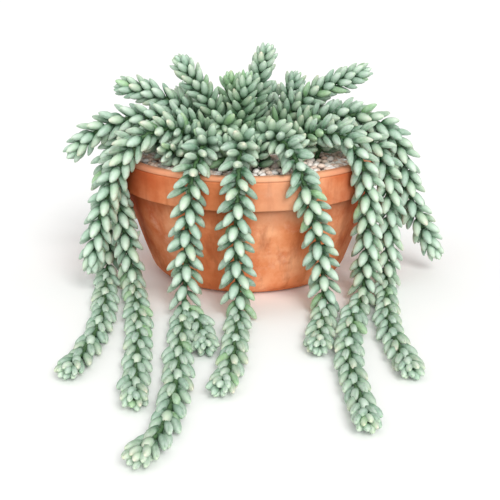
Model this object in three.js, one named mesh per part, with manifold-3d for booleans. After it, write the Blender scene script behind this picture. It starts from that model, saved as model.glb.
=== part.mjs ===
// Burro's tail, a trailing sedum, growing in a low terracotta pot that stands on a flat surface.
// Millimetres, +Z up. The origin is the middle of the pot's foot, on the surface, and the
// front of the plant faces -Y. The long stems hang over the rim and then lie along the surface.

import * as THREE from "three";
import { mergeVertices } from "three/addons/utils/BufferGeometryUtils.js";
import Module from "manifold-3d";

const wasm = await Module();
wasm.setup();
const { Manifold, Mesh: SolidMesh } = wasm;
const { lerp, inverseLerp, clamp } = THREE.MathUtils;

// Pot: a ten inch bulb pan, half as high as it is wide
const POT_HEIGHT = 124;
const RIM_RADIUS = 127;
const RIM_MOUTH_RADIUS = 118;
const RIM_BAND = 32;
const RIM_STEP = 5.5;
const LIP_ROUNDING = 3;
const HEEL_RADIUS = 91;
const FOOT_RADIUS = 75;
const HEEL_HEIGHT = 17;
const WALL_BULGE = 1.5;
const WALL = 9;
const FLOOR_THICKNESS = 10;
const FLOOR_RISE = 10;
const FLOOR_CURVE = 3;
const BAND_CORNER = 0.8;
const MOUTH_BEVEL = 2;
const POT_SEGMENTS = 36;
const HEEL_STEPS = 4;
const DRAIN_HOLE_RADIUS = 6;
const DRAIN_HOLE_CIRCLE = 40;
const DRAIN_HOLES = 3;
const DRAIN_HOLE_SIDES = 12;

// Filling: potting soil with a layer of pebbles on it
const GAP = 0.3;
const CUT_SPARE = 2;
const SOIL_TOP = 106;
const PEBBLE_VALLEY = 115;
const PEBBLE_HEIGHT = 4;
const PEBBLE_PITCH = 22;
const PEBBLE_ROW = PEBBLE_PITCH * Math.sin(Math.PI / 3);
const PEBBLE_DOME = 2;
const PEBBLE_SHIFT = 4;
const PEBBLE_LEAST = 0.6;
const PEBBLE_SEED = 29;
const PEBBLE_CLEAR = 1;
const PEBBLE_TOP = PEBBLE_VALLEY + PEBBLE_HEIGHT + PEBBLE_DOME + PEBBLE_CLEAR;
const FILLING_LIMIT = POT_HEIGHT - 3;

// Stems: slim three-sided prisms, with a ring of three leaves round each whorl
const STEM_RADIUS = 2.3;
const STEM_SIDES = 3;
const FOOT_DEPTH = 86;
const FOOT_STRAIGHT = 4;
const HOLE_CLEARANCE = 1.5;
const HOLE_SIDES = 4;
const BARE_FOOT = 3;
const RISING_PITCH = 12.5;
const HANGING_PITCH = 13.8;
const LYING_PITCH = 17;
const TIP_PITCH = 6.2;
const WHORL_HEIGHT = 4.4;
const TIP_WHORL_HEIGHT = 3.1;
const WHORL_TURN = THREE.MathUtils.degToRad(60);
const WHORL_TURN_SPREAD = 0.15;
const RISING_SLOPE = 0.5;
const FALLING_SLOPE = -0.33;
const BUD_LENGTH = 9;
const CORE_STEP = 2;
const STEM_SEED = 101;
const SEED_STEP = 7;
const CLEARANCE = 0.7;
const LYING = 9;
const LYING_BELOW = 30;
const LYING_FROM = 12;

// Leaves: plump and pointed. They stand off the stem, most of all on an open stem, and are short
// and upright near its tip. Those of a stem that lies on the surface droop to its sides.
const LEAF_LENGTH = 21;
const LEAF_WIDTH = 10.5;
const LEAF_KEEL = 4.6;
const LEAF_WIDEST_AT = 0.46;
const LEAF_LEAN = THREE.MathUtils.degToRad(54);
const OPEN_LEAN = THREE.MathUtils.degToRad(64);
const LYING_LEAN = THREE.MathUtils.degToRad(46);
const LYING_DROOP = 0.3;
const TIP_LEAN = THREE.MathUtils.degToRad(30);
const TIP_REACH = 34;
const TIP_SHARE = 0.7;
const TIP_WIDTH_SHARE = 0.85;
const LEAN_SPREAD = 0.1;
const SIZE_SPREAD = [0.92, 1.06];
const SMALLER = [1, 0.87, 0.76, 0.66];
const MOST_TURNS = 16;
const PUSH = 1.15;
const LEAST_PUSH = 0.05;
const TURN_BACK = 0.3;
const LEAST_LENGTH = 9;
const LEAST_VOLUME = 40;
const LEAST_CROSSING = 1e-9;
const LEAST_OUTWARD = 0.34;
const SPARE_LENGTH = 1.04;
const SPARE_WIDTH = 1.08;

// Every stem: its foot in the soil, then the points that it passes through up to its tip.
// A branch starts on its parent's line.
const STEMS = [
  { name: "stem_left_reach", foot: [-22, -14],
    route: [[-34, -22, 137], [-56, -28, 153], [-85, -30, 159], [-113, -30, 158], [-133, -30, 152],
      [-151, -30, 141], [-167, -30, 127]] },
  { name: "stem_left_fall_short", foot: [-47, -40],
    route: [[-52, -52, 142], [-67, -71, 156], [-87, -83, 156], [-103, -87, 146], [-115, -87, 130],
      [-125, -86, 110], [-134, -86, 86], [-141, -86, 61], [-147, -86, 30]] },
  { name: "stem_left_fall_long", foot: [-66, -32],
    route: [[-74, -40, 134], [-89, -50, 142], [-106, -56, 140], [-118, -59, 130], [-125, -61, 112],
      [-124, -61, 88], [-119, -62, 62], [-114, -64, 34], [-111, -73, 14], [-106, -98, LYING],
      [-100, -141, LYING], [-94, -194, LYING], [-90, -246, LYING], [-87, -297, LYING], [-85, -339, LYING]] },
  { name: "stem_left_fall_outer", foot: [-64, 0],
    route: [[-74, -5, 133], [-91, -12, 142], [-109, -18, 142], [-125, -22, 132], [-135, -25, 113],
      [-138, -27, 88], [-138, -28, 58], [-137, -31, 29], [-137, -44, 12], [-136, -66, LYING],
      [-133, -104, LYING], [-129, -157, LYING], [-130, -212, LYING], [-135, -254, LYING],
      [-141, -285, LYING]] },
  { name: "stem_up_left", foot: [-38, 18],
    route: [[-42, 15, 138], [-50, 10, 153], [-64, 6, 163], [-86, 5, 173], [-106, 5, 180], [-122, 5, 183]] },
  { name: "stem_up_tall_left", foot: [-20, 4],
    route: [[-23, 2, 133], [-29, 0, 148], [-36, 0, 164], [-46, 0, 179], [-55, 0, 194], [-65, 0, 207]] },
  { name: "stem_up_tall_centre", foot: [6, 14],
    route: [[3, 12, 135], [2, 10, 150], [5, 10, 170], [10, 10, 190], [15, 10, 207], [19, 10, 216]] },
  { name: "stem_up_centre", foot: [-4, -20],
    route: [[-7, -20, 135], [-8, -20, 150], [-7, -20, 167], [-3, -20, 184], [-1, -20, 194]] },
  { name: "stem_up_young", foot: [-16, 34],
    route: [[-18, 32, 141], [-18, 30, 161], [-17, 28, 176], [-17, 27, 186]] },
  { name: "stem_up_right", foot: [24, 4],
    route: [[28, 8, 137], [38, 10, 152], [53, 10, 167], [71, 10, 179], [90, 10, 188], [112, 10, 196]] },
  { name: "stem_up_back_right", foot: [32, 38],
    route: [[33, 40, 137], [37, 41, 155], [43, 42, 173], [48, 42, 184]] },
  { name: "stem_up_back_centre", foot: [12, 56],
    route: [[15, 58, 140], [20, 60, 157], [24, 61, 172]] },
  { name: "stem_right_arch", foot: [36, -20],
    route: [[42, -18, 135], [53, -15, 148], [70, -16, 156], [90, -19, 160], [110, -20, 158], [129, -20, 149],
      [144, -20, 132], [152, -20, 112], [157, -20, 89], [163, -20, 67], [174, -20, 44], [185, -20, 23]] },
  { name: "stem_right_fall_long", foot: [44, -52],
    route: [[48, -56, 137], [57, -62, 149], [74, -72, 153], [89, -81, 149], [100, -88, 137], [107, -91, 118],
      [110, -91, 93], [111, -91, 64], [110, -92, 34], [108, -101, 14], [104, -120, LYING], [96, -149, LYING],
      [88, -194, LYING], [82, -246, LYING], [81, -297, LYING], [83, -337, LYING], [84, -378, LYING]] },
  { name: "stem_right_fall_outer", foot: [66, -32],
    route: [[72, -35, 134], [88, -40, 144], [107, -44, 144], [123, -47, 132], [131, -49, 111], [134, -50, 82],
      [135, -50, 52], [134, -52, 28], [133, -64, 12], [130, -88, LYING], [125, -139, LYING],
      [122, -189, LYING], [124, -239, LYING], [128, -284, LYING]] },
  { name: "stem_right_fall_short", foot: [64, 14],
    route: [[72, 13, 135], [88, 10, 148], [105, 7, 152], [122, 5, 145], [136, 4, 126], [144, 3, 101],
      [148, 3, 75], [150, 3, 52]] },
  { name: "stem_front_right", foot: [16, -44], open: true,
    route: [[17, -52, 138], [19, -68, 149], [25, -86, 152], [34, -103, 148], [42, -117, 139], [48, -127, 124],
      [54, -129, 104], [60, -128, 82], [64, -127, 58], [68, -128, 32], [69, -138, 13], [67, -157, LYING],
      [62, -196, LYING], [58, -235, LYING]] },
  { name: "stem_front_centre", foot: [-3, -64], open: true,
    route: [[-4, -74, 137], [-5, -92, 148], [-7, -112, 145], [-8, -130, 133], [-9, -138, 116],
      [-10, -139, 94], [-11, -139, 69], [-10, -139, 44], [-9, -142, 22], [-8, -156, LYING], [-9, -180, LYING],
      [-11, -235, LYING], [-14, -277, LYING], [-21, -317, LYING]] },
  { name: "stem_front_left", foot: [-29, -62], open: true,
    route: [[-33, -70, 137], [-37, -84, 147], [-42, -102, 144], [-47, -119, 133], [-51, -129, 117],
      [-53, -131, 98], [-55, -130, 73], [-56, -129, 47], [-57, -131, 24], [-58, -145, 10], [-57, -189, LYING],
      [-56, -246, LYING], [-55, -301, LYING], [-56, -346, LYING], [-60, -388, LYING], [-73, -430, LYING]],
    branch: [[-58, -143, 11], [-48, -165, LYING], [-40, -198, LYING], [-35, -236, LYING]] },
  { name: "stem_short_left", foot: [-59, -62], open: true,
    route: [[-63, -67, 128], [-68, -76, 137], [-73, -87, 140]] },
  { name: "stem_short_front", foot: [-14, -38], open: true,
    route: [[-17, -43, 140], [-21, -54, 153], [-24, -66, 158], [-26, -78, 158]] },
  { name: "stem_short_middle", foot: [-19, -80], open: true,
    route: [[-20, -83, 129], [-21, -88, 139], [-22, -94, 146]] },
  { name: "stem_short_inner", foot: [7, -80], open: true,
    route: [[7, -83, 129], [7, -88, 139], [7, -94, 146]] },
  { name: "stem_short_right", foot: [34, -74], open: true,
    route: [[36, -77, 129], [40, -82, 138], [45, -88, 145]] },
  { name: "stem_back_left", foot: [-34, 66],
    route: [[-38, 80, 136], [-44, 98, 144], [-50, 117, 139], [-54, 130, 122], [-55, 134, 95], [-55, 134, 60],
      [-56, 135, 30], [-60, 147, 12], [-70, 172, LYING], [-86, 205, LYING]] },
  { name: "stem_back_centre", foot: [22, 80],
    route: [[26, 92, 135], [31, 108, 142], [36, 124, 136], [39, 135, 118], [39, 137, 90], [38, 137, 55],
      [38, 139, 28], [42, 152, 11], [52, 182, LYING], [56, 214, LYING]] },
  { name: "stem_back_right", foot: [68, 50],
    route: [[77, 56, 135], [92, 64, 143], [108, 73, 139], [118, 78, 122], [122, 80, 95], [122, 80, 60],
      [122, 81, 30], [130, 90, 12], [154, 110, LYING]] },
  { name: "stem_back_side", foot: [-70, 38],
    route: [[-79, 44, 135], [-94, 54, 142], [-109, 65, 136], [-119, 71, 118], [-121, 73, 92], [-121, 73, 62],
      [-121, 73, 38]] },
  { name: "stem_up_back_left", foot: [-48, 44],
    route: [[-52, 48, 138], [-58, 54, 154], [-66, 60, 170]] },
  { name: "stem_up_side_right", foot: [58, 44],
    route: [[61, 45, 137], [66, 46, 153], [73, 47, 170]] },
  { name: "stem_up_back", foot: [-10, 78],
    route: [[-12, 84, 137], [-13, 92, 152], [-14, 102, 166]] },
  { name: "stem_short_back", foot: [4, 96], open: true,
    route: [[4, 99, 129], [4, 103, 139], [4, 108, 146]] },
  { name: "stem_short_back_left", foot: [-62, 78], open: true,
    route: [[-65, 81, 129], [-69, 85, 139], [-74, 90, 145]] },
  { name: "stem_short_back_right", foot: [50, 88], open: true,
    route: [[52, 91, 129], [55, 96, 139], [59, 101, 145]] },
];

const CLAY = new THREE.MeshStandardMaterial({ color: 0xc76d43, roughness: 0.85, metalness: 0 });
const SOIL = new THREE.MeshStandardMaterial({ color: 0x4a3629, roughness: 1, metalness: 0 });
const STONE = new THREE.MeshStandardMaterial({ color: 0xc9ad9c, roughness: 0.8, metalness: 0 });
const LEAF = new THREE.MeshStandardMaterial({ color: 0xa3c6ab, roughness: 0.6, metalness: 0 });

// A closed three.js geometry as a solid that can be joined and cut.
function solidOf(geometry) {
  const bare = new THREE.BufferGeometry();
  bare.setAttribute("position", geometry.getAttribute("position"));
  if (geometry.index) bare.setIndex(geometry.index);
  const merged = mergeVertices(bare, 1e-4);
  return new Manifold(new SolidMesh({
    numProp: 3,
    vertProperties: merged.attributes.position.array,
    triVerts: new Uint32Array(merged.index.array),
  }));
}

// A solid as a named mesh of the object.
function meshOf(name, solid, material) {
  const made = solid.getMesh();
  const geometry = new THREE.BufferGeometry();
  geometry.setAttribute("position", new THREE.BufferAttribute(new Float32Array(made.vertProperties), 3));
  geometry.setIndex(new THREE.BufferAttribute(new Uint32Array(made.triVerts), 1));
  geometry.computeVertexNormals();
  const mesh = new THREE.Mesh(geometry, material);
  mesh.name = name;
  return mesh;
}

// A profile of [radius, height] points, starting and ending on the axis, turned about Z.
function turned(profile) {
  const points = profile.map(([radius, height]) => new THREE.Vector2(radius, height));
  return solidOf(new THREE.LatheGeometry(points, POT_SEGMENTS).rotateX(Math.PI / 2));
}

// An upright round post with its lower end at the given height.
function post(radius, height, x, y, bottom, sides = 8) {
  const geometry = new THREE.CylinderGeometry(radius, radius, height, sides).rotateX(Math.PI / 2);
  return solidOf(geometry.translate(x, y, bottom + height / 2));
}

// The outside of the pot, from the foot up to the lip.
function outerProfile() {
  const underBand = POT_HEIGHT - RIM_BAND;
  const wallTop = RIM_RADIUS - RIM_STEP;
  const heelTop = HEEL_RADIUS + (wallTop - HEEL_RADIUS) * (HEEL_HEIGHT / underBand);
  const heelPoints = [[FOOT_RADIUS, 0], [HEEL_RADIUS, 0], [heelTop, HEEL_HEIGHT]];
  const heel = new THREE.QuadraticBezierCurve(...heelPoints.map((point) => new THREE.Vector2(...point)));
  const middle = [(heelTop + wallTop) / 2 + WALL_BULGE, (HEEL_HEIGHT + underBand) / 2];
  const lip = [0, 30, 60, 90].map((degrees) => {
    const angle = THREE.MathUtils.degToRad(degrees);
    const [inwards, down] = [1 - Math.cos(angle), 1 - Math.sin(angle)];
    return [RIM_RADIUS - LIP_ROUNDING * inwards, POT_HEIGHT - LIP_ROUNDING * down];
  });
  return [...heel.getPoints(HEEL_STEPS).map((p) => [p.x, p.y]), middle, [wallTop, underBand],
    [RIM_RADIUS - BAND_CORNER, underBand + BAND_CORNER], ...lip];
}

// The inside of the pot, from the mouth down to the floor.
function innerProfile(inset = 0) {
  const underBand = POT_HEIGHT - RIM_BAND;
  return [
    [RIM_MOUTH_RADIUS - inset, POT_HEIGHT - MOUTH_BEVEL],
    [RIM_RADIUS - RIM_STEP - WALL - inset, underBand],
    [HEEL_RADIUS - WALL + FLOOR_CURVE - inset, FLOOR_THICKNESS + FLOOR_RISE],
    [FOOT_RADIUS - inset, FLOOR_THICKNESS + inset],
  ];
}

function radiusAt(profile, height) {
  const upper = profile.findIndex((point, i) => i > 0 && point[1] <= height);
  const [[r0, z0], [r1, z1]] = [profile[upper - 1], profile[upper]];
  return r1 + ((r0 - r1) * (height - z1)) / (z0 - z1);
}

function pot() {
  const mouth = [RIM_MOUTH_RADIUS + MOUTH_BEVEL / 2, POT_HEIGHT];
  const shell = turned([[0, 0], ...outerProfile(), mouth, ...innerProfile(), [0, FLOOR_THICKNESS]]);
  const holes = Array.from({ length: DRAIN_HOLES }, (_, i) => {
    const angle = (i / DRAIN_HOLES) * 2 * Math.PI + Math.PI / 6;
    return post(DRAIN_HOLE_RADIUS, FLOOR_THICKNESS + 2 * CUT_SPARE, DRAIN_HOLE_CIRCLE * Math.cos(angle),
      DRAIN_HOLE_CIRCLE * Math.sin(angle), -CUT_SPARE, DRAIN_HOLE_SIDES);
  });
  return shell.subtract(Manifold.union(holes));
}

// Holes for the stems' feet, a little wider than the stems.
function footHoles() {
  return Manifold.union(STEMS.map(({ foot: [x, y] }) =>
    post(STEM_RADIUS + HOLE_CLEARANCE, POT_HEIGHT - FOOT_DEPTH, x, y, FOOT_DEPTH - CUT_SPARE, HOLE_SIDES)));
}

function soil(holes) {
  const inside = innerProfile(GAP);
  const below = inside.filter(([, height]) => height < SOIL_TOP).reverse();
  return turned([[0, FLOOR_THICKNESS + GAP], ...below, [radiusAt(inside, SOIL_TOP), SOIL_TOP], [0, SOIL_TOP]])
    .subtract(holes);
}

// The same numbers on every run.
function seededRandom(seed) {
  let state = seed;
  return () => {
    state = (state * 16807) % 2147483647;
    return state / 2147483647;
  };
}

// A field of pebbles as relief: each six-sided cell rises from its corners to an uneven middle.
function pebbleRelief(bottom) {
  const random = seededRandom(PEBBLE_SEED);
  const rows = Math.ceil(RIM_RADIUS / PEBBLE_ROW) + 1;
  const columns = Math.ceil(RIM_RADIUS / PEBBLE_PITCH) + 2;
  const vertices = [];
  const triangles = [];
  const found = new Map();
  const vertex = (x, y, z) => {
    const key = `${Math.round(x * 10)},${Math.round(y * 10)},${z === bottom ? "b" : "t"}`;
    if (!found.has(key)) {
      found.set(key, vertices.length / 3);
      vertices.push(x, y, z);
    }
    return found.get(key);
  };
  const dome = (x, y) => PEBBLE_VALLEY + PEBBLE_DOME * (1 - (x * x + y * y) / RIM_RADIUS ** 2);
  const edges = new Map();
  for (let row = -rows; row <= rows; row += 1) {
    for (let column = -columns; column <= columns; column += 1) {
      const cx = (column + (Math.abs(row) % 2) / 2) * PEBBLE_PITCH;
      const cy = row * PEBBLE_ROW;
      const corner = Array.from({ length: 6 }, (_, i) => {
        const angle = (i + 0.5) * (Math.PI / 3);
        const x = cx + (PEBBLE_PITCH / Math.sqrt(3)) * Math.cos(angle);
        const y = cy + (PEBBLE_PITCH / Math.sqrt(3)) * Math.sin(angle);
        return [vertex(x, y, dome(x, y)), vertex(x, y, bottom)];
      });
      const px = cx + (random() - 0.5) * PEBBLE_SHIFT;
      const py = cy + (random() - 0.5) * PEBBLE_SHIFT;
      const rise = PEBBLE_HEIGHT * (PEBBLE_LEAST + (1 - PEBBLE_LEAST) * random());
      const top = vertex(px, py, dome(px, py) + rise);
      const under = vertex(cx, cy, bottom);
      corner.forEach(([a, lowA], i) => {
        const [b, lowB] = corner[(i + 1) % 6];
        triangles.push(top, a, b, under, lowB, lowA);
        edges.set(`${a},${b}`, [a, b, lowA, lowB]);
      });
    }
  }
  for (const [a, b, lowA, lowB] of edges.values())
    if (!edges.has(`${b},${a}`)) triangles.push(a, lowA, lowB, a, lowB, b);
  return new Manifold(new SolidMesh({
    numProp: 3, vertProperties: new Float32Array(vertices), triVerts: new Uint32Array(triangles) }));
}

function pebbles(holes) {
  const inside = innerProfile(GAP);
  const bottom = SOIL_TOP + GAP;
  const wall = [bottom, FILLING_LIMIT].map((height) => [radiusAt(inside, height), height]);
  const bed = turned([[0, bottom], ...wall, [0, FILLING_LIMIT]]);
  return bed.intersect(pebbleRelief(bottom - CUT_SPARE)).subtract(holes);
}

// Distance from the filled pot's surface, below zero inside it, and the way out.
const potOutline = [[0, 0], ...outerProfile(), [RIM_MOUTH_RADIUS, POT_HEIGHT],
  [RIM_MOUTH_RADIUS - PEBBLE_CLEAR, PEBBLE_VALLEY + PEBBLE_HEIGHT + PEBBLE_CLEAR],
  [0, PEBBLE_TOP - PEBBLE_CLEAR]];

function potDistance(point) {
  const r = Math.hypot(point.x, point.y);
  let best = Infinity;
  let nearest = [0, 0];
  let inside = false;
  potOutline.forEach(([r0, z0], i) => {
    if (i === potOutline.length - 1) return;
    const [r1, z1] = potOutline[i + 1];
    const length2 = (r1 - r0) ** 2 + (z1 - z0) ** 2;
    const t = Math.min(1, Math.max(0, ((r - r0) * (r1 - r0) + (point.z - z0) * (z1 - z0)) / length2));
    const [nr, nz] = [r0 + t * (r1 - r0), z0 + t * (z1 - z0)];
    const distance = Math.hypot(r - nr, point.z - nz);
    if (distance < best) [best, nearest] = [distance, [nr, nz]];
    if (z0 > point.z !== z1 > point.z && r < r0 + ((point.z - z0) * (r1 - r0)) / (z1 - z0)) inside = !inside;
  });
  const sign = inside ? -1 : 1;
  const [dr, dz] = [(r - nearest[0]) * sign, (point.z - nearest[1]) * sign];
  const along = r > 1e-6 ? dr / r : 0;
  const out = new THREE.Vector3(point.x * along, point.y * along, dz).normalize();
  return { distance: best * sign, out };
}

// Balls that stand for the stems and leaves already placed, found by the cell that they are in.
const CELL = 16;
const placed = new Map();

function cellKey(x, y, z) {
  return `${Math.floor(x / CELL)},${Math.floor(y / CELL)},${Math.floor(z / CELL)}`;
}

function keepBall(owner, centre, radius) {
  const key = cellKey(centre.x, centre.y, centre.z);
  if (!placed.has(key)) placed.set(key, []);
  placed.get(key).push({ owner, centre, radius });
}

function ballsNear(point) {
  const near = [];
  for (const dx of [-CELL, 0, CELL])
    for (const dy of [-CELL, 0, CELL])
      for (const dz of [-CELL, 0, CELL])
        near.push(...(placed.get(cellKey(point.x + dx, point.y + dy, point.z + dz)) ?? []));
  return near;
}

// A leaf's balls: share of its length, and share of its half width.
const LEAF_BALLS = [[0.26, 0.62], [LEAF_WIDEST_AT, 1.06], [0.62, 0.74], [0.79, 0.42], [0.96, 0.12]];
const BALL_SINK = 0.3;

function ballsOf({ root, direction, up, length, width }) {
  return LEAF_BALLS.map(([t, share]) => ({
    centre: root.clone().addScaledVector(direction, t * length)
      .addScaledVector(up, -BALL_SINK * LEAF_KEEL * share * (width / LEAF_WIDTH)),
    radius: (width / 2) * share,
  }));
}

// The deepest that a ball reaches into the surface, the pot or another stem, and the way out.
function deepest(owner, { centre, radius }) {
  let worst = { depth: radius + CLEARANCE - centre.z, out: new THREE.Vector3(0, 0, 1) };
  const pan = potDistance(centre);
  const inPot = radius + CLEARANCE - pan.distance;
  if (inPot > worst.depth) worst = { depth: inPot, out: pan.out };
  for (const ball of ballsNear(centre)) {
    if (ball.owner === owner) continue;
    const apart = centre.clone().sub(ball.centre);
    const depth = radius + ball.radius + CLEARANCE - apart.length();
    if (depth > worst.depth) worst = { depth, out: apart.normalize() };
  }
  return worst;
}

// A leaf that grows from four corners of the stem: foot side left and right, tip side right and left.
function leafAt(corners, direction, tangent, share, widthShare) {
  const root = new THREE.Vector3();
  corners.forEach((corner) => root.addScaledVector(corner, 0.25));
  const across = corners[1].clone().sub(corners[0]);
  across.addScaledVector(direction, -across.dot(direction)).normalize();
  const up = new THREE.Vector3().crossVectors(direction, across).normalize();
  if (up.dot(tangent) < 0) up.negate();
  const [length, width] = [LEAF_LENGTH * share, LEAF_WIDTH * widthShare];
  const keel = root.clone().addScaledVector(direction, LEAF_WIDEST_AT * length)
    .addScaledVector(up, -LEAF_KEEL * widthShare);
  return { corners, root, direction, up, length, width,
    left: keel.clone().addScaledVector(across, -width / 2),
    right: keel.clone().addScaledVector(across, width / 2),
    tip: root.clone().addScaledVector(direction, length) };
}

// The leaf's faces by corner number: 0 to 3 on the stem, then left, right and tip.
const LEAF_FACES = [[0, 1, 5], [0, 5, 4], [1, 2, 5], [2, 3, 6], [2, 6, 5], [3, 0, 4], [3, 4, 6], [4, 5, 6]];

function leafSolid({ corners, left, right, tip }) {
  const points = [...corners, left, right, tip];
  return new Manifold(new SolidMesh({
    numProp: 3,
    vertProperties: new Float32Array(points.flatMap((point) => point.toArray())),
    triVerts: new Uint32Array([...LEAF_FACES, [0, 3, 1], [1, 3, 2]].flat()),
  }));
}

const grownLeaves = [];
const NEAR_LEAF = 1.5 * LEAF_LENGTH;

// Whether a leaf would cross its own stem, or a leaf that is already there.
function crosses(leaf, core) {
  const near = grownLeaves.filter(({ tip, root }) =>
    Math.min(tip.distanceTo(leaf.tip), root.distanceTo(leaf.root)) < NEAR_LEAF);
  const solid = leafSolid(leaf);
  const meets = (other) => Math.abs(solid.intersect(other).volume()) > LEAST_CROSSING;
  return solid.volume() < LEAST_VOLUME || meets(core) || near.some((other) => meets(leafSolid(other)));
}

// Turns a leaf aside until it is clear of everything, or makes it smaller, or gives it up.
function settled(owner, core, corners, wanted, tangent, share, widthShare) {
  const outward = wanted.clone().addScaledVector(tangent, -wanted.dot(tangent)).normalize();
  for (const smaller of SMALLER) {
    if (smaller * share * LEAF_LENGTH < LEAST_LENGTH) return null;
    const direction = wanted.clone();
    for (let tries = 0; tries < MOST_TURNS; tries += 1) {
      const leaf = leafAt(corners, direction.clone(), tangent, share * smaller, widthShare * smaller);
      let worst = { depth: 0 };
      for (const ball of ballsOf(leaf)) {
        const hit = deepest(owner, ball);
        if (hit.depth > worst.depth) worst = { ...hit, centre: ball.centre };
      }
      if (worst.depth <= 0) {
        const spare = leafAt(corners, direction, tangent, share * smaller * SPARE_LENGTH,
          widthShare * smaller * SPARE_WIDTH);
        if (direction.dot(outward) >= LEAST_OUTWARD && !crosses(spare, core)) return leaf;
        break;
      }
      const moved = worst.centre.clone().addScaledVector(worst.out, worst.depth * PUSH + LEAST_PUSH);
      direction.copy(moved.sub(leaf.root).normalize());
      if (direction.dot(outward) < LEAST_OUTWARD) direction.addScaledVector(outward, TURN_BACK).normalize();
    }
  }
  return null;
}

function lineOf(points) {
  const curve = new THREE.CatmullRomCurve3(points.map((p) => new THREE.Vector3(...p)), false, "centripetal");
  return { curve, total: curve.getLength() };
}

function stemLines({ foot: [x, y], route, branch, open }) {
  const foot = [FOOT_DEPTH, SOIL_TOP, PEBBLE_TOP - FOOT_STRAIGHT, PEBBLE_TOP].map((z) => [x, y, z]);
  const main = { ...lineOf([...foot, ...route]), bare: PEBBLE_TOP - FOOT_DEPTH, open };
  return branch ? [main, { ...lineOf(branch), bare: 0, open }] : [main];
}

function keepCore(owner, { curve, total }) {
  for (let along = 0; along <= total + BUD_LENGTH; along += CORE_STEP) {
    const centre = curve.getPointAt(Math.min(1, along / total));
    centre.addScaledVector(curve.getTangentAt(1), Math.max(0, along - total));
    keepBall(owner, centre, STEM_RADIUS);
  }
}

// The whorls of a line: how far along it each is, how young, from 0 to 1 at the tip, and how much
// the stem lies there.
function whorlsOf({ curve, total, bare }) {
  const whorls = [];
  let along = bare + BARE_FOOT;
  while (along < total - WHORL_HEIGHT / 2) {
    const u = along / total;
    const young = Math.max(0, 1 - (total - along) / TIP_REACH);
    const lying = clamp(inverseLerp(LYING_BELOW, LYING_FROM, curve.getPointAt(u).z), 0, 1);
    const hanging = clamp(inverseLerp(RISING_SLOPE, FALLING_SLOPE, curve.getTangentAt(u).z), 0, 1);
    whorls.push({ along, young, lying, height: lerp(WHORL_HEIGHT, TIP_WHORL_HEIGHT, young) });
    along += lerp(lerp(lerp(RISING_PITCH, HANGING_PITCH, hanging), LYING_PITCH, lying), TIP_PITCH, young);
  }
  return whorls;
}

// The rings of three corners that a line's stem is drawn through, with the whorls' own pairs marked.
function ringsOf(line, random) {
  const { curve, total, bare } = line;
  const side = new THREE.Vector3(0.3, 1, 0.1);
  let turn = random() * Math.PI;
  const ringAt = (along, whorl) => {
    const u = Math.min(1, along / total);
    const [centre, tangent] = [curve.getPointAt(u), curve.getTangentAt(u)];
    side.addScaledVector(tangent, -side.dot(tangent)).normalize();
    const corners = Array.from({ length: STEM_SIDES }, (_, i) => {
      const angle = turn + (i / STEM_SIDES) * 2 * Math.PI;
      return centre.clone().addScaledVector(side.clone().applyAxisAngle(tangent, angle), STEM_RADIUS);
    });
    return { centre, tangent, corners, whorl };
  };
  const rings = [ringAt(0)];
  if (bare > 0) rings.push(ringAt(bare));
  for (const whorl of whorlsOf(line)) {
    turn += WHORL_TURN * lerp(1 - WHORL_TURN_SPREAD, 1 + WHORL_TURN_SPREAD, random());
    rings.push(ringAt(whorl.along - whorl.height / 2), ringAt(whorl.along + whorl.height / 2, whorl));
  }
  return rings;
}

// A closed surface through the rings, with a pointed bud. Where there is a leaf, its faces stand
// in for the stem's.
function surfaceThrough(rings, leaves, bud) {
  const points = rings.flatMap(({ corners }) => corners);
  const triangles = [[0, 2, 1]];
  for (let ring = 1; ring < rings.length; ring += 1) {
    for (let i = 0; i < STEM_SIDES; i += 1) {
      const next = (i + 1) % STEM_SIDES;
      const [low, high] = [(ring - 1) * STEM_SIDES, ring * STEM_SIDES];
      const base = [low + i, low + next, high + next, high + i];
      const leaf = leaves.find((one) => one.ring === ring && one.side === i);
      if (leaf) {
        const numbers = [...base, points.length, points.length + 1, points.length + 2];
        points.push(leaf.left, leaf.right, leaf.tip);
        for (const face of LEAF_FACES) triangles.push(face.map((corner) => numbers[corner]));
      } else {
        triangles.push([base[0], base[1], base[3]], [base[1], base[2], base[3]]);
      }
    }
  }
  const last = (rings.length - 1) * STEM_SIDES;
  for (let i = 0; i < STEM_SIDES; i += 1)
    triangles.push([last + i, last + ((i + 1) % STEM_SIDES), points.length]);
  points.push(bud);
  return new Manifold(new SolidMesh({
    numProp: 3,
    vertProperties: new Float32Array(points.flatMap((point) => point.toArray())),
    triVerts: new Uint32Array(triangles.flat()),
  }));
}

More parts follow.
